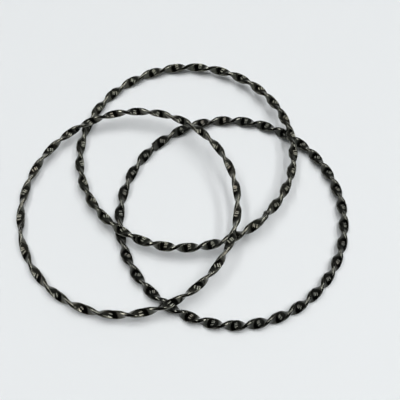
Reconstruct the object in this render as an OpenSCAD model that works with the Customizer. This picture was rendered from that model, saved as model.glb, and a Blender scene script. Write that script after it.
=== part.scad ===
// Three rings of twisted flat metal strip, lying in a loose stack on a table.
// Each ring is one flat strip, twisted along its length, bent round and soldered end to end.
// The bottom ring lies flat. The middle ring leans on it, and the top ring leans on the middle one.
// Millimetres. Origin: middle of the footprint, on the table. +X right, +Y away, +Z up.

/* [Bottom ring] */
// Radius of the bottom ring, to the middle of its strip
bottom_radius = 33.3; // [32.5:0.1:34]
// Width of its strip
bottom_width = 3.0; // [2.6:0.1:3.4]
// Thickness of its strip
bottom_thickness = 1.1; // [0.8:0.1:1.4]
// Half twists around the ring, as if its ends were twisted like the rest
bottom_half_twists = 32; // [24:0.1:36]
// Middle of the ring, to the right of the origin
bottom_x = 14.6; // [13:0.1:16]
// Middle of the ring, away from the origin
bottom_y = -10.3; // [-12:0.1:-9]

/* [Middle ring] */
// Radius of the middle ring, to the middle of its strip
middle_radius = 33.1; // [32.5:0.1:34]
// Width of its strip
middle_width = 2.8; // [2.4:0.1:3.2]
// Thickness of its strip
middle_thickness = 1.1; // [0.8:0.1:1.4]
// Half twists around the ring, as if its ends were twisted like the rest
middle_half_twists = 29.5; // [24:0.1:34]
// Middle of the ring, to the right of the origin
middle_x = 0.3; // [-1:0.1:2]
// Middle of the ring, away from the origin
middle_y = 10.6; // [9:0.1:12]

/* [Top ring] */
// Radius of the top ring, to the middle of its strip
top_radius = 32.2; // [31.5:0.1:33]
// Width of its strip
top_width = 2.4; // [2:0.1:2.8]
// Thickness of its strip
top_thickness = 1.0; // [0.8:0.1:1.2]
// Half twists around the ring, as if its ends were twisted like the rest
top_half_twists = 25.3; // [20:0.1:30]
// Middle of the ring, to the right of the origin
top_x = -16.0; // [-17:0.1:-15]
// Middle of the ring, away from the origin
top_y = -9.7; // [-11:0.1:-8]

/* [Resting heights] */
// Height of the middle ring over the bottom ring, strip centre to strip centre, at the right crossing
middle_rise_right = 2.9; // [2.9:0.05:3.4]
// The same at the left crossing
middle_rise_left = 2.0; // [2:0.05:3.2]
// Height of the top ring over the middle ring at the near crossing
top_rise_near = 2.05; // [2.05:0.05:3]
// The same at the far crossing
top_rise_far = 2.7; // [2.7:0.05:3.2]

/* [Soldered joints] */
// Length of the solder between the two ends of a strip
solder_length = 0.8; // [0.4:0.1:1.2]
// How far the solder stands proud of the strip
solder_proud = 0.05; // [0:0.05:0.1]

/* [Finish] */
// Bevel along the strip's four long edges
edge_bevel = 0.2; // [0.1:0.05:0.3]
// Sections along each half twist
sections_per_half_twist = 8; // [4:1:8]

/* [Hidden] */

// The strip's own angle starts at "start" degrees, 0 being flat on the table, and turns with "hand".
// Hand twisting is uneven: the angle wanders once around the ring and ripples twice around it.
// The ends stay straighter, where they were held: "held" is the length so lost after and before the joint.
// A ring is [radius, width, thickness, half twists, hand, start, wander, wander at, ripple, ripple at, joint, held]
bottom_ring = [bottom_radius, bottom_width, bottom_thickness, bottom_half_twists,
    1, 43, 99, 29, 8, -46, 138, [0.3, 1.3]];
middle_ring = [middle_radius, middle_width, middle_thickness, middle_half_twists,
    1, 155, 85, 41, 12, 10, 317, [1.0, 2.5]];
top_ring = [top_radius, top_width, top_thickness, top_half_twists,
    -1, 68.5, 35, 88, 6, -11, 193, [2.6, 0.3]];

bottom_centre = [bottom_x, bottom_y];
middle_centre = [middle_x, middle_y];
top_centre = [top_x, top_y];

function radius(ring) = ring[0];
function width(ring) = ring[1];
function thickness(ring) = ring[2];
function half_twists(ring) = ring[3];
function joint_angle(ring) = ring[10];
function held(ring) = ring[11] / radius(ring) * 180 / PI;

// Half the diagonal of the strip: how high its middle is where an edge stands on the table
function half_diagonal(ring) = norm([width(ring), thickness(ring)]) / 2;

// Degrees that the strip turns for each degree around the ring
function turn_rate(ring) = ring[4] * half_twists(ring) / 2;

// Angle of the strip's section at angle a around the ring, from the joint - 360 to the joint
function strip_angle(ring, a) =
    let (after = held(ring)[0], before = held(ring)[1],
         lead = after * exp((joint_angle(ring) - 360 - a) / after),
         lag = before * exp((a - joint_angle(ring)) / before))
    ring[5] + turn_rate(ring) * (a + lead - lag)
    + ring[6] * sin(a + ring[7]) + ring[8] * sin(2 * a + ring[9]);

// Half of the angle around the ring that the solder fills
function solder_half_angle(ring) = solder_length / radius(ring) * 90 / PI;

// Where two ring circles cross, seen from above, on the left (side 1) or right (side -1) of a to b
function crossing(centre_a, radius_a, centre_b, radius_b, side) =
    let (apart = norm(centre_b - centre_a),
         along = (centre_b - centre_a) / apart,
         across = [-along[1], along[0]],
         reach = (radius_a^2 - radius_b^2 + apart^2) / (2 * apart))
    centre_a + reach * along + side * sqrt(radius_a^2 - reach^2) * across;

// A leaning ring is [height of its middle, slope along X, slope along Y]. It passes over point p at
// height hp and over point q at height hq, and its lowest point is at height low.
function leaning(centre, ring, low, p, hp, q, hq) =
    let (chord = (q - p) / norm(q - p),
         side = [-chord[1], chord[0]],
         middle = (p + q) / 2,
         rise = (hq - hp) / norm(q - p),
         reach = (centre - middle) * side,
         lift = (hp + hq) / 2 + rise * ((centre - middle) * chord) - low,
         // lift + slope * reach = radius * sqrt(slope^2 + rise^2), solved for slope
         qa = reach^2 - radius(ring)^2,
         qb = 2 * lift * reach,
         qc = lift^2 - (radius(ring) * rise)^2,
         root = sqrt(qb^2 - 4 * qa * qc),
         slope = reach > 0 ? (-qb + root) / (2 * qa) : (-qb - root) / (2 * qa),
         tilt = slope * side + rise * chord)
    [(hp + hq) / 2 + tilt * (centre - middle), tilt[0], tilt[1]];

// Height of a leaning ring's plane over point p
function height_at(lean, centre, p) = lean[0] + [lean[1], lean[2]] * (p - centre);

bottom_lean = [half_diagonal(bottom_ring), 0, 0];
cross_right = crossing(middle_centre, middle_radius, bottom_centre, bottom_radius, 1);
cross_left = crossing(middle_centre, middle_radius, bottom_centre, bottom_radius, -1);
middle_lean = leaning(
    middle_centre, middle_ring, half_diagonal(middle_ring),
    cross_right, bottom_lean[0] + middle_rise_right,
    cross_left, bottom_lean[0] + middle_rise_left);

cross_near = crossing(middle_centre, middle_radius, top_centre, top_radius, 1);
cross_far = crossing(middle_centre, middle_radius, top_centre, top_radius, -1);
top_lean = leaning(
    top_centre, top_ring, half_diagonal(top_ring),
    cross_near, height_at(middle_lean, middle_centre, cross_near) + top_rise_near,
    cross_far, height_at(middle_lean, middle_centre, cross_far) + top_rise_far);

// Outline of the strip's section, a bevelled rectangle grown by "proud".
// Each wide side has a corner at its middle, which keeps the twisted faces close to the true surface.
function section(ring, proud) =
    let (x = width(ring) / 2 + proud,
         y = thickness(ring) / 2 + proud,
         b = edge_bevel,
         half = [[x, b - y], [x, y - b], [x - b, y], [0, y], [b - x, y]])
    [each half, each -half];

// One section of a ring that lies flat: its outline turned to "angle", at angle a around the ring
function placed_section(ring, outline, a, angle) =
    [for (p = outline)
        let (out = radius(ring) + p[0] * cos(angle) - p[1] * sin(angle))
        [out * cos(a), out * sin(a), p[0] * sin(angle) + p[1] * cos(angle)]];

// Solid through a row of sections with the same number of corners.
// Neighbouring sides are split along opposite diagonals, so that the splits add no volume to a twist.
module swept(rows) {
    corners = len(rows[0]);
    last = len(rows) - 1;
    sides = [
        for (i = [0 : last - 1], j = [0 : corners - 1])
            let (k = (j + 1) % corners, here = i * corners, next = here + corners)
            each j % 2 == 0
                ? [[here + j, next + j, next + k], [here + j, next + k, here + k]]
                : [[here + j, next + j, here + k], [next + j, next + k, here + k]]
    ];
    near_end = [for (j = [0 : corners - 1]) j];
    far_end = [for (j = [corners - 1 : -1 : 0]) last * corners + j];
    polyhedron([for (row = rows) each row], concat(sides, [near_end, far_end]));
}

// Lays a flat ring in its leaning place
module lay(lean, centre) {
    toward = atan2(lean[2], lean[1]);
    translate([centre[0], centre[1], lean[0]])
        rotate([0, 0, toward])
            rotate([0, -atan(norm([lean[1], lean[2]])), 0])
                rotate([0, 0, -toward])
                    children();
}

// Twisted strip of one ring, open by the length of the solder
module strip(ring) {
    first = joint_angle(ring) - 360 + solder_half_angle(ring);
    last = joint_angle(ring) - solder_half_angle(ring);
    steps = ceil(half_twists(ring) * sections_per_half_twist);
    outline = section(ring, 0);
    swept([
        for (i = [0 : steps])
            let (a = first + (last - first) * i / steps)
            placed_section(ring, outline, a, strip_angle(ring, a))
    ]);
}

// Solder that joins the strip's last section to its first one
module solder(ring) {
    half = solder_half_angle(ring);
    from = strip_angle(ring, joint_angle(ring) - half);
    mismatch = strip_angle(ring, joint_angle(ring) - 360 + half) - from;
    turn = mismatch - 180 * round(mismatch / 180);
    outline = section(ring, solder_proud);
    swept([
        for (u = [0, 0.5, 1])
            placed_section(ring, outline, joint_angle(ring) + (2 * u - 1) * half, from + u * turn)
    ]);
}

module bottom_ring_strip() { color([0.20, 0.20, 0.21]) lay(bottom_lean, bottom_centre) strip(bottom_ring); }
module bottom_ring_solder() { color([0.45, 0.45, 0.44]) lay(bottom_lean, bottom_centre) solder(bottom_ring); }
module middle_ring_strip() { color([0.27, 0.27, 0.25]) lay(middle_lean, middle_centre) strip(middle_ring); }
module middle_ring_solder() { color([0.50, 0.50, 0.48]) lay(middle_lean, middle_centre) solder(middle_ring); }
module top_ring_strip() { color([0.33, 0.32, 0.31]) lay(top_lean, top_centre) strip(top_ring); }
module top_ring_solder() { color([0.55, 0.54, 0.52]) lay(top_lean, top_centre) solder(top_ring); }

bottom_ring_strip();
bottom_ring_solder();
middle_ring_strip();
middle_ring_solder();
top_ring_strip();
top_ring_solder();
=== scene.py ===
"""The looks of three rings of twisted flat metal strip that lie in a loose stack.

Sizes are millimetres and angles are degrees, as in the CAD model. They become metres where a mesh, a lamp
or the camera is made.
"""
import math
from dataclasses import dataclass

import bpy
from mathutils import Matrix, Vector, noise


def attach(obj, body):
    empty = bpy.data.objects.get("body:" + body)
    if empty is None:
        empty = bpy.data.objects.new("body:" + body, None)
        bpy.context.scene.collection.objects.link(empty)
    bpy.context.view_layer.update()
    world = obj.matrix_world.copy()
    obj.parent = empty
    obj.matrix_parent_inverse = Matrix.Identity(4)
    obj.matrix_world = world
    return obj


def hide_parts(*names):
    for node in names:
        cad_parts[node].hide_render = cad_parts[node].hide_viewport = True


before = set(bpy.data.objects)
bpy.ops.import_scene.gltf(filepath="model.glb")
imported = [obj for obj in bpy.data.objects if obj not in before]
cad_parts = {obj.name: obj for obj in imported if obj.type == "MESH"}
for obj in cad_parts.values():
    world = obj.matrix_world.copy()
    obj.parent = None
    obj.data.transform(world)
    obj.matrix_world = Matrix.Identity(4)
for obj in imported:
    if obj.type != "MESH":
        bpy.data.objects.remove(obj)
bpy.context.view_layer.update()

MM = 0.001


# ---------------------------------------------------------------- the rings, as the CAD model has them

@dataclass(frozen=True, eq=False)
class Ring:
    body: str          # the CAD body, whose name starts the names of all its pieces
    radius: float      # to the middle of the strip
    width: float
    thickness: float
    half_twists: float
    hand: int          # 1 or -1: which way the strip turns
    start: float       # the strip's angle at 0 degrees around the ring, 0 being flat on the table
    wander: tuple      # size and phase of that angle's drift, once around the ring
    ripple: tuple      # the same, twice around the ring
    joint: float       # where around the ring the two ends meet
    held: tuple        # length of twist that is missing after and before the joint, where it was held
    step: float        # how far the end after the joint lies outside the end before it
    drop: float        # how far the solder stands out toward the middle of the ring
    centre: Vector     # middle of the ring, seen from above
    seed: int          # picks the ring's own unevenness


BOTTOM = Ring(
    body="bottom_ring", radius=33.3, width=3.0, thickness=1.1,
    half_twists=32, hand=1, start=43, wander=(99, 29), ripple=(8, -46),
    joint=138, held=(0.3, 1.3), step=0.1, drop=0.05,
    centre=Vector((14.6, -10.3)), seed=4)
MIDDLE = Ring(
    body="middle_ring", radius=33.1, width=2.8, thickness=1.1,
    half_twists=29.5, hand=1, start=155, wander=(85, 41), ripple=(12, 10),
    joint=317, held=(1.0, 2.5), step=-0.4, drop=0.55,
    centre=Vector((0.3, 10.6)), seed=21)
TOP = Ring(
    body="top_ring", radius=32.2, width=2.4, thickness=1.0,
    half_twists=25.3, hand=-1, start=68.5, wander=(35, 88), ripple=(6, -11),
    joint=193, held=(2.6, 0.3), step=0.3, drop=0.15,
    centre=Vector((-16.0, -9.7)), seed=38)

MIDDLE_RISE = (2.9, 2.0)   # middle ring over bottom ring, strip centre to strip centre: right, left
TOP_RISE = (2.05, 2.7)     # top ring over middle ring: near, far
SOLDER_LENGTH = 0.8        # gap between the two ends of a strip, which the solder fills
SOLDER_PROUD = 0.05        # how far the solder stands proud of the strip


def sind(a):
    return math.sin(math.radians(a))


def cosd(a):
    return math.cos(math.radians(a))


def half_diagonal(ring):
    """How high the strip's middle is where one of its edges stands on the table."""
    return math.hypot(ring.width, ring.thickness) / 2


def solder_half_angle(ring):
    return math.degrees(SOLDER_LENGTH / ring.radius) / 2


def strip_angle(ring, a):
    """Angle of the strip's section at angle a around the ring: 0 is flat, 90 stands on edge.

    a runs from the joint - 360 to the joint.
    """
    after, before = (math.degrees(length / ring.radius) for length in ring.held)
    lead = after * math.exp((ring.joint - 360 - a) / after)
    lag = before * math.exp((a - ring.joint) / before)
    turned = ring.start + ring.hand * ring.half_twists * (a + lead - lag) / 2
    return (turned + ring.wander[0] * sind(a + ring.wander[1])
            + ring.ripple[0] * sind(2 * a + ring.ripple[1]))


def crossing(a, b, side):
    """Where ring circles a and b cross, seen from above, on the left (1) or right (-1) of a to b."""
    apart = (b.centre - a.centre).length
    along = (b.centre - a.centre) / apart
    across = Vector((-along.y, along.x))
    reach = (a.radius ** 2 - b.radius ** 2 + apart ** 2) / (2 * apart)
    return a.centre + reach * along + side * math.sqrt(a.radius ** 2 - reach ** 2) * across


def leaning(ring, p, hp, q, hq):
    """(height, slope) of a ring that passes over p at height hp and over q at hq and touches the table."""
    chord = (q - p).normalized()
    side = Vector((-chord.y, chord.x))
    rise = (hq - hp) / (q - p).length
    from_middle = ring.centre - (p + q) / 2
    reach = from_middle.dot(side)
    lift = (hp + hq) / 2 + rise * from_middle.dot(chord) - half_diagonal(ring)
    # lift + slope * reach = radius * hypot(slope, rise), solved for slope
    qa = reach ** 2 - ring.radius ** 2
    qb = 2 * lift * reach
    qc = lift ** 2 - (ring.radius * rise) ** 2
    root = math.sqrt(qb ** 2 - 4 * qa * qc)
    slope = (-qb + math.copysign(root, reach)) / (2 * qa)
    tilt = slope * side + rise * chord
    return (hp + hq) / 2 + tilt.dot(from_middle), tilt


def height_at(ring, lean, p):
    """Height over point p of the plane of a ring that leans."""
    return lean[0] + lean[1].dot(p - ring.centre)


def leans():
    """How each ring lies: the bottom one flat, the middle one on it, the top one on the middle one."""
    flat = (half_diagonal(BOTTOM), Vector((0, 0)))
    right, left = (crossing(MIDDLE, BOTTOM, side) for side in (1, -1))
    middle = leaning(MIDDLE, right, flat[0] + MIDDLE_RISE[0], left, flat[0] + MIDDLE_RISE[1])
    near, far = (crossing(MIDDLE, TOP, side) for side in (1, -1))
    top = leaning(TOP, near, height_at(MIDDLE, middle, near) + TOP_RISE[0],
                  far, height_at(MIDDLE, middle, far) + TOP_RISE[1])
    return {BOTTOM: flat, MIDDLE: middle, TOP: top}


def laid(ring, lean):
    """Matrix that takes a flat ring round the origin to its leaning place."""
    height, tilt = lean
    toward = math.atan2(tilt.y, tilt.x)
    turn = Matrix.Rotation(toward, 4, "Z")
    tip = Matrix.Rotation(-math.atan(tilt.length), 4, "Y")
    place = Matrix.Translation(Vector((ring.centre.x, ring.centre.y, height)))
    return place @ turn @ tip @ turn.inverted()


# ---------------------------------------------------------------- the section of a strip

EDGE_ROUND = 0.13          # radius of the four long edges
CROWN = 28                 # the narrow sides bulge until they lean back by this angle
HOLD = 0.06                # a row this far inside each edge keeps the rounding off the wide faces
CORNER_STEPS = 4           # steps round each long edge
CROWN_STEPS = 4            # steps across each narrow side
FACE_STEPS = 8             # steps across each wide face

EDGE_WEAR = 1.0            # how worn the rounded edges are, from 0 to 1
CROWN_WEAR = (0.3, 0.8)    # the same on a narrow side: in its middle, and next to the edges
FACE_WEAR = 0.5            # the same on a wide face next to the edges; its middle has none


def outline(ring):
    """The strip's section as (x, y, wear): a rectangle with bulging narrow sides and rounded edges."""
    x, y, r = ring.width / 2, ring.thickness / 2, EDGE_ROUND
    bulge = (y - r) / sind(CROWN) + r
    corner = x - bulge + (bulge - r) * cosd(CROWN)
    half = []
    for i in range(CROWN_STEPS):
        u = 2 * i / CROWN_STEPS - 1
        wear = CROWN_WEAR[0] + (CROWN_WEAR[1] - CROWN_WEAR[0]) * abs(u)
        half.append((x - bulge + bulge * cosd(CROWN * u), bulge * sind(CROWN * u), wear))
    for i in range(CORNER_STEPS + 1):
        a = CROWN + (90 - CROWN) * i / CORNER_STEPS
        half.append((corner + r * cosd(a), y - r + r * sind(a), EDGE_WEAR))
    for i in range(FACE_STEPS + 1):
        u = 1 - 2 * i / FACE_STEPS
        half.append(((corner - HOLD) * u, y, FACE_WEAR * abs(u) ** 3))
    for i in range(CORNER_STEPS):
        a = 90 + (90 - CROWN) * i / CORNER_STEPS
        half.append((-corner + r * cosd(a), y - r + r * sind(a), EDGE_WEAR))
    return half + [(-px, -py, wear) for px, py, wear in half]


def ring_point(ring, a, angle, shift, x, y):
    """Point (x, y) of the section at a around a flat ring, turned to angle and moved out by shift."""
    out = ring.radius + shift + x * cosd(angle) - y * sind(angle)
    return Vector((out * cosd(a), out * sind(a), x * sind(angle) + y * cosd(angle)))


def lump(point, size, seed):
    """Smooth unevenness between about -1 and 1, with lumps of the given size. A seed picks its own."""
    return noise.noise(point / size + Vector((seed, 3.7 * seed, -seed)))


# ---------------------------------------------------------------- the pieces

def mesh_from_rows(name, rows, wears, places):
    """A closed solid through rows of points, each row one loop, with the wear and place of each point."""
    corners = len(rows[0])
    last = len(rows) - 1
    verts = [p * MM for row in rows for p in row]
    faces = []
    for i in range(last):
        for j in range(corners):
            k = (j + 1) % corners
            here, next_row = i * corners, (i + 1) * corners
            faces.append((here + j, next_row + j, next_row + k, here + k))
    faces.append(tuple(range(corners)))
    faces.append(tuple(last * corners + j for j in reversed(range(corners))))
    mesh = bpy.data.meshes.new(name)
    mesh.from_pydata(verts, [], faces)
    mesh.validate()
    mesh.update()
    wear = mesh.attributes.new("wear", "FLOAT", "POINT")
    wear.data.foreach_set("value", [w for row in wears for w in row])
    place = mesh.attributes.new("strip_place", "FLOAT_VECTOR", "POINT")
    place.data.foreach_set("vector", [c for row in places for p in row for c in p])
    mesh.shade_smooth()
    for end in list(mesh.polygons)[-2:]:
        end.use_smooth = False
    piece = bpy.data.objects.new(name, mesh)
    bpy.context.scene.collection.objects.link(piece)
    return piece


SECTIONS_PER_HALF_TWIST = 30
STEP_REACH = 4.0           # the two ends come into line over this length
EDGE_SWELL = 0.036         # the strip's edges wander in and out by this
FACE_SWELL = 0.009         # its faces swell with them by this
SWELL_SIZE = 5.0           # length of those swellings
DENT = 0.007               # depth of the small dents in its faces
DENT_SIZE = 1.1            # their length
DENT_SQUEEZE = 1.3         # how much smaller the dents are across the strip than along it
DENT_SEED = 11             # added to the ring's seed, so that the dents differ from the swellings


def uneven(ring, along, x, y):
    """How far hand work moves point (x, y) of the section, as (dx, dy)."""
    swell = lump(Vector((along, 0, 0)), SWELL_SIZE, ring.seed)
    dent = lump(Vector((along, x * DENT_SQUEEZE, y * DENT_SQUEEZE)), DENT_SIZE, ring.seed + DENT_SEED)
    outward = math.copysign(1, y)
    return EDGE_SWELL * swell * x / (ring.width / 2), outward * (FACE_SWELL * swell + DENT * dent)


def twisted_strip(ring, place):
    """The strip from one end round to the other."""
    first = ring.joint - 360 + solder_half_angle(ring)
    last = ring.joint - solder_half_angle(ring)
    steps = round(ring.half_twists * SECTIONS_PER_HALF_TWIST)
    section = outline(ring)
    rows, wears, places = [], [], []
    for i in range(steps + 1):
        a = first + (last - first) * i / steps
        angle = strip_angle(ring, a)
        along = math.radians(a) * ring.radius
        from_joint = math.radians(a - ring.joint + 360) * ring.radius
        to_joint = math.radians(ring.joint - a) * ring.radius
        shift = ring.step / 2 * (math.exp(-from_joint / STEP_REACH) - math.exp(-to_joint / STEP_REACH))
        row = []
        for x, y, _ in section:
            dx, dy = uneven(ring, along, x, y)
            row.append(place @ ring_point(ring, a, angle, shift, x + dx, y + dy))
        rows.append(row)
        wears.append([wear for _, _, wear in section])
        places.append([(along, x, y) for x, y, _ in section])
    return mesh_from_rows(ring.body + "_twisted_strip", rows, wears, places)


BEAD_STEPS = 24            # steps along the bead
BEAD_OVERLAP = 0.9         # how far the solder creeps along each strip end
BEAD_WAIST = 0.09          # how much thinner it is between the ends
BEAD_ROUND = 0.8           # how far its section goes from the strip's outline to an ellipse there
BEAD_SINK = 0.012          # how far it ends below the surface of the strips
BEAD_LUMPS = 0.05          # height of its lumps
BEAD_LUMP_SIZE = 0.6       # their width
BEAD_SEED = 5              # added to the ring's seed


def bead_angle(ring, a):
    """Angle of the bead's section at a: that of the strip that it covers, or an even turn in the gap."""
    half = solder_half_angle(ring)
    end = strip_angle(ring, ring.joint - half)
    mismatch = strip_angle(ring, ring.joint - 360 + half) - end
    turn = mismatch - 180 * round(mismatch / 180)    # half a turn leaves the section as it was
    if a < ring.joint - half:
        return strip_angle(ring, a)
    if a > ring.joint + half:
        return strip_angle(ring, a - 360) - mismatch + turn
    return end + turn * (a - ring.joint + half) / (2 * half)


def bead_surface(ring, x, y, angle, along, u, waist):
    """Point (x, y) of the strip's outline, moved to the solder's surface.

    u runs from -1 to 1 along the bead, and waist is 1 at the middle of the gap and 0 on the strips.
    """
    around = math.atan2(y / ring.thickness, x / ring.width)
    x += BEAD_ROUND * waist * (ring.width / 2 * math.cos(around) - x)
    y += BEAD_ROUND * waist * (ring.thickness / 2 * math.sin(around) - y)
    outward = Vector((x, y)).normalized()
    swell = SOLDER_PROUD * (1 - u ** 6) - BEAD_WAIST * waist - BEAD_SINK * u ** 6
    toward_middle = outward.y * sind(angle) - outward.x * cosd(angle)
    drop = ring.drop * max(toward_middle, 0) * (1 - abs(u) ** 3) ** 2
    lumps = BEAD_LUMPS * (1 - u * u) * lump(Vector((along, x, y)), BEAD_LUMP_SIZE, ring.seed + BEAD_SEED)
    out = outward * (swell + drop + lumps)
    return x + out.x, y + out.y


def solder_bead(ring, place):
    """The solder: lumpy where it creeps along the ends of the strip, with a waist between them."""
    half = solder_half_angle(ring)
    reach = half + math.degrees(BEAD_OVERLAP / ring.radius)
    section = outline(ring)
    rows, wears, places = [], [], []
    for i in range(BEAD_STEPS + 1):
        u = 2 * i / BEAD_STEPS - 1
        a = ring.joint + u * reach
        angle = bead_angle(ring, a)
        along = math.radians(a) * ring.radius
        across_gap = min(max((a - ring.joint + half) / (2 * half), 0), 1)
        waist = math.sin(math.pi * across_gap) ** 2
        shift = (across_gap - 0.5) * ring.step
        row = []
        for x, y, _ in section:
            x, y = bead_surface(ring, x, y, angle, along, u, waist)
            row.append(place @ ring_point(ring, a, angle, shift, x, y))
        rows.append(row)
        wears.append([wear * (1 - abs(u)) for _, _, wear in section])
        places.append([(along, x, y) for x, y, _ in section])
    return mesh_from_rows(ring.body + "_solder_bead", rows, wears, places)


# ---------------------------------------------------------------- shader nodes

def ramp(tree, fac, *stops):
    """A colour ramp through (place, colour or grey) stops."""
    made = tree.nodes.new("ShaderNodeValToRGB")
    elements = made.color_ramp.elements
    while len(elements) < len(stops):
        elements.new(0.5)
    for element, (at, colour) in zip(elements, stops):
        element.position = at
        element.color = (*colour, 1) if isinstance(colour, tuple) else (colour, colour, colour, 1)
    tree.links.new(fac, made.inputs["Fac"])
    return made.outputs["Color"]


def maths(tree, operation, a, b):
    """An operation on a and b, which are numbers or sockets."""
    made = tree.nodes.new("ShaderNodeMath")
    made.operation = operation
    for socket, value in zip(made.inputs, (a, b)):
        if isinstance(value, (int, float)):
            socket.default_value = value
        else:
            tree.links.new(value, socket)
    return made.outputs["Value"]


def weighted(tree, *parts):
    """The sum of (weight, socket) parts."""
    total = maths(tree, "MULTIPLY", parts[0][1], parts[0][0])
    for weight, socket in parts[1:]:
        total = maths(tree, "ADD", total, maths(tree, "MULTIPLY", socket, weight))
    return total


def mixed(tree, fac, a, b):
    """Colour a where fac is 0 and b where it is 1. Each is a colour or a socket."""
    made = tree.nodes.new("ShaderNodeMix")
    made.data_type = "RGBA"
    for name, value in (("Factor_Float", fac), ("A_Color", a), ("B_Color", b)):
        socket = next(s for s in made.inputs if s.identifier == name)
        if isinstance(value, tuple):
            socket.default_value = (*value, 1)
        else:
            tree.links.new(value, socket)
    return next(s for s in made.outputs if s.identifier == "Result_Color")


def attribute(tree, name, output):
    """A mesh attribute: its Vector or Fac output."""
    made = tree.nodes.new("ShaderNodeAttribute")
    made.attribute_name = name
    return made.outputs[output]


def noise_of(tree, where, scale, detail, roughness=0.5, stretch=None):
    """Noise with scale features per mm, or more along the axes that stretch multiplies."""
    if stretch:
        mapping = tree.nodes.new("ShaderNodeMapping")
        mapping.inputs["Scale"].default_value = stretch
        tree.links.new(where, mapping.inputs["Vector"])
        where = mapping.outputs["Vector"]
    made = tree.nodes.new("ShaderNodeTexNoise")
    made.inputs["Scale"].default_value = scale
    made.inputs["Detail"].default_value = detail
    made.inputs["Roughness"].default_value = roughness
    tree.links.new(where, made.inputs["Vector"])
    return made.outputs["Fac"]


def bumped(tree, shader, relief, strength, depth):
    """Gives a shader bumps of the given depth in mm."""
    bump = tree.nodes.new("ShaderNodeBump")
    bump.inputs["Strength"].default_value = strength
    bump.inputs["Distance"].default_value = depth * MM
    tree.links.new(relief, bump.inputs["Height"])
    tree.links.new(bump.outputs["Normal"], shader.inputs["Normal"])


def new_material(name):
    """A new material, as (material, node tree, its Principled shader)."""
    material = bpy.data.materials.new(name)
    material.use_nodes = True
    return material, material.node_tree, material.node_tree.nodes["Principled BSDF"]


# ---------------------------------------------------------------- metals

METALS = {
    BOTTOM: dict(black=(0.034, 0.035, 0.031), film=(0.053, 0.055, 0.047),
                 brown=(0.060, 0.055, 0.046), worn=(0.112, 0.112, 0.096)),
    MIDDLE: dict(black=(0.047, 0.048, 0.040), film=(0.077, 0.080, 0.064),
                 brown=(0.085, 0.079, 0.062), worn=(0.149, 0.149, 0.124)),
    TOP: dict(black=(0.051, 0.052, 0.045), film=(0.080, 0.083, 0.068),
              brown=(0.096, 0.083, 0.064), worn=(0.150, 0.149, 0.124)),
}
SOLDER_DULL = (0.027, 0.027, 0.023)
SOLDER_CLEAN = (0.080, 0.080, 0.071)


def aged_metal(name, black, film, brown, worn):
    """Blackened rolled strip: a dark mottled film, rubbed paler on the edges, with rolling lines.

    black and film are the two tones of the film, brown is the film's stains, and worn is the bare metal.
    """
    material, tree, shader = new_material(name)
    shader.inputs["Metallic"].default_value = 1.0
    place = attribute(tree, "strip_place", "Vector")
    wear = attribute(tree, "wear", "Fac")

    patches = noise_of(tree, place, 0.6, 8, 0.68)
    stains = noise_of(tree, place, 0.15, 3)
    # both run along the strip: the lines are long, and the grain is short and fine
    lines = noise_of(tree, place, 1.0, 3, stretch=(0.35, 7.0, 7.0))
    grain = noise_of(tree, place, 1.0, 3, 0.6, stretch=(3.0, 16.0, 16.0))

    stained = mixed(tree, ramp(tree, stains, (0.45, 0.0), (0.62, 1.0)), film, brown)
    mottled = mixed(tree, ramp(tree, patches, (0.36, 0.0), (0.64, 1.0)), black, stained)
    rubbed = weighted(tree, (0.75, wear), (0.35, lines), (0.45, patches))
    bare = ramp(tree, rubbed, (0.62, 0.0), (1.15, 1.0))
    tree.links.new(mixed(tree, bare, mottled, worn), shader.inputs["Base Color"])

    matt = weighted(tree, (0.7, grain), (0.3, lines), (-0.1, bare))
    tree.links.new(ramp(tree, matt, (0.46, 0.10), (0.66, 0.27)), shader.inputs["Roughness"])
    bumped(tree, shader, weighted(tree, (1.0, lines), (0.5, grain)), strength=0.25, depth=0.02)
    return material


def solder_metal(name, dull, clean):
    """Grey tarnished solder, dull in spots."""
    material, tree, shader = new_material(name)
    shader.inputs["Metallic"].default_value = 1.0
    place = attribute(tree, "strip_place", "Vector")
    spots = noise_of(tree, place, 2.2, 4, 0.6)
    grain = noise_of(tree, place, 12.0, 3, 0.6)
    tree.links.new(mixed(tree, ramp(tree, spots, (0.35, 0.0), (0.7, 1.0)), dull, clean),
                   shader.inputs["Base Color"])
    tree.links.new(ramp(tree, grain, (0.2, 0.08), (0.8, 0.26)), shader.inputs["Roughness"])
    bumped(tree, shader, weighted(tree, (1.0, spots), (0.3, grain)), strength=0.35, depth=0.04)
    return material


def build_ring(ring, lean, solder):
    """A ring's strip and its solder, each in place of its CAD node."""
    place = laid(ring, lean)
    strip = twisted_strip(ring, place)
    strip.data.materials.append(aged_metal(ring.body + "_metal", **METALS[ring]))
    bead = solder_bead(ring, place)
    bead.data.materials.append(solder)
    strip_slot = ring.body.replace("_ring", "_strip_metal")
    for piece, cad_node, slot in (
        (strip, ring.body + "_strip", strip_slot),
        (bead, ring.body + "_solder", "solder"),
    ):
        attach(piece, ring.body)
        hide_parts(cad_node)


# ---------------------------------------------------------------- floor and backdrop

FLOOR_RADIUS = 2500
FLOOR_SIDES = 96
FLOOR_TONE = (0.79, 0.815, 0.825)
FLOOR_ROUGHNESS = 0.55
BACKDROP_HEIGHT = 2500
BACKDROP_TONE = (0.72, 0.74, 0.75)


def floor_edge(height):
    """Points of the floor's outline, at the given height."""
    angles = [360 * i / FLOOR_SIDES for i in range(FLOOR_SIDES)]
    return [Vector((FLOOR_RADIUS * cosd(a), FLOOR_RADIUS * sind(a), height)) for a in angles]


def stage_object(name, verts, faces, material):
    """An object of the stage, which isn't part of the rings."""
    mesh = bpy.data.meshes.new(name)
    mesh.from_pydata([p * MM for p in verts], [], faces)
    mesh.materials.append(material)
    piece = bpy.data.objects.new(name, mesh)
    bpy.context.scene.collection.objects.link(piece)
    return piece


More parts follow.
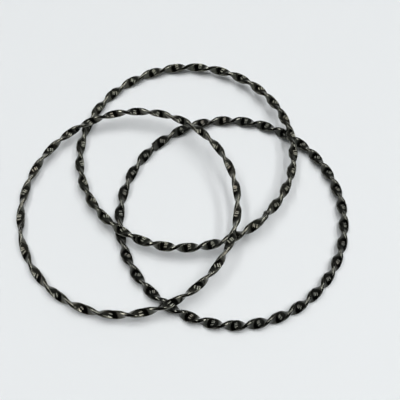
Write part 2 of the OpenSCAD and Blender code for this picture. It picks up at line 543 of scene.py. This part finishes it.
def make_floor():
    material, _, shader = new_material("pale_floor")
    shader.inputs["Base Color"].default_value = (*FLOOR_TONE, 1)
    shader.inputs["Roughness"].default_value = FLOOR_ROUGHNESS
    stage_object("floor", floor_edge(0), [tuple(range(FLOOR_SIDES))], material)


def make_backdrop():
    """A pale wall round the floor that is only looked at: it throws no light, shadow or reflection."""
    material, tree, _ = new_material("pale_backdrop")
    glow = tree.nodes.new("ShaderNodeEmission")
    glow.inputs["Color"].default_value = (*BACKDROP_TONE, 1)
    tree.links.new(glow.outputs["Emission"], tree.nodes["Material Output"].inputs["Surface"])
    faces = []
    for i in range(FLOOR_SIDES):
        j = (i + 1) % FLOOR_SIDES
        faces.append((i, j, j + FLOOR_SIDES, i + FLOOR_SIDES))
    wall = stage_object("backdrop", floor_edge(0) + floor_edge(BACKDROP_HEIGHT), faces, material)
    wall.visible_diffuse = False
    wall.visible_glossy = False
    wall.visible_shadow = False


# ---------------------------------------------------------------- light

# Each bar is (name, angle from straight up toward +X, the same toward +Y, watts per square metre)
BARS = (
    ("middle_bar", 12, 6, 35.3),
    ("right_bar", 34, 10, 27.4),
    ("left_bar", -22, 6, 27.4),
)
BAR_DISTANCE = 6000        # far enough off to light the whole floor evenly
BAR_WIDE = 6               # the angles that each bar spans
BAR_LONG = 44
SOFT_HEIGHT = 5000         # the broad light overhead
SOFT_WIDE = 6000
SOFT_POWER = 100           # watts


def light_bar(name, right, back, glow):
    """A bar of light overhead that runs away from the camera, seen as bright dashes on the metal."""
    lamp = bpy.data.lights.new(name, "AREA")
    lamp.shape = "RECTANGLE"
    lamp.size = 2 * BAR_DISTANCE * math.tan(math.radians(BAR_WIDE / 2)) * MM
    lamp.size_y = 2 * BAR_DISTANCE * math.tan(math.radians(BAR_LONG / 2)) * MM
    lamp.energy = glow * lamp.size * lamp.size_y
    piece = bpy.data.objects.new(name, lamp)
    away = Vector((math.tan(math.radians(right)), math.tan(math.radians(back)), 1)).normalized()
    long_way = (Vector((0, 1, 0)) - away.y * away).normalized()
    piece.location = away * BAR_DISTANCE * MM
    piece.rotation_mode = "QUATERNION"
    piece.rotation_quaternion = Matrix((long_way.cross(away), long_way, away)).transposed().to_quaternion()
    bpy.context.scene.collection.objects.link(piece)


def soft_light():
    """A broad light overhead that softens the shadows. The metal doesn't mirror it."""
    lamp = bpy.data.lights.new("soft_light", "AREA")
    lamp.shape = "SQUARE"
    lamp.size = SOFT_WIDE * MM
    lamp.energy = SOFT_POWER
    piece = bpy.data.objects.new("soft_light", lamp)
    piece.location = (0, 0, SOFT_HEIGHT * MM)
    piece.visible_glossy = False
    bpy.context.scene.collection.objects.link(piece)


ROOM_STRENGTH = 0.72
ROOM_FRONT = (0.015, 0.015, 0.015)     # where the camera stands
ROOM_OVERHEAD = (0.10, 0.10, 0.105)
ROOM_BACK = (0.28, 0.285, 0.29)
ROOM_LOW = (0.80, 0.81, 0.82)          # low down all round
TO_BACK = 0.5                          # how strongly the tone follows the way to the back
TO_RIGHT = 0.2                         # the same for the way to the right
LOW_BAND = (0.06, 0.2)                 # sines of the angle above the horizon where the low tone fades


def make_world():
    """A room with pale walls low down, dark where the camera stands and paler at the back and right."""
    world = bpy.data.worlds.new("studio")
    world.use_nodes = True
    bpy.context.scene.world = world
    tree = world.node_tree
    way = tree.nodes.new("ShaderNodeSeparateXYZ")
    tree.links.new(tree.nodes.new("ShaderNodeTexCoord").outputs["Generated"], way.inputs["Vector"])
    toward_back = weighted(tree, (TO_BACK, way.outputs["Y"]), (TO_RIGHT, way.outputs["X"]))
    # overhead comes at 0.5, the front below it and the back above it
    room = ramp(tree, maths(tree, "ADD", toward_back, 0.5),
                (0.22, ROOM_FRONT), (0.5, ROOM_OVERHEAD), (0.8, ROOM_BACK))
    low = ramp(tree, way.outputs["Z"], (LOW_BAND[0], 1.0), (LOW_BAND[1], 0.0))
    tree.links.new(mixed(tree, low, room, ROOM_LOW), tree.nodes["Background"].inputs["Color"])
    tree.nodes["Background"].inputs["Strength"].default_value = ROOM_STRENGTH


# ---------------------------------------------------------------- camera

LOOK_AT = Vector((5.1, -5.0, 0.0))     # the point at the middle of the view
DISTANCE = 176.5                       # from that point to the camera
ELEVATION = 64.0                       # how far above the horizon the camera stands
ROLL = 1.5                             # the camera is turned this far, its right side up
LENS = 52.2                            # focal length
SENSOR_WIDTH = 36
NEAREST = 10                           # nothing nearer to the camera is drawn


def make_camera():
    camera = bpy.data.objects.new("camera", bpy.data.cameras.new("camera"))
    camera.data.lens = LENS
    camera.data.sensor_width = SENSOR_WIDTH
    camera.data.clip_start = NEAREST * MM
    back = Vector((0, -cosd(ELEVATION), sind(ELEVATION)))
    camera.location = (LOOK_AT + back * DISTANCE) * MM
    camera.rotation_mode = "QUATERNION"
    camera.rotation_quaternion = (Matrix.Rotation(math.radians(ROLL), 3, back)
                                  @ back.to_track_quat("Z", "Y").to_matrix()).to_quaternion()
    bpy.context.scene.collection.objects.link(camera)
    bpy.context.scene.camera = camera


# ---------------------------------------------------------------- the scene

solder = solder_metal("tarnished_solder", SOLDER_DULL, SOLDER_CLEAN)
for ring, lean in leans().items():
    build_ring(ring, lean, solder)

bpy.context.scene.view_settings.view_transform = "Standard"
make_floor()
make_backdrop()
make_world()
for bar in BARS:
    light_bar(*bar)
soft_light()
make_camera()
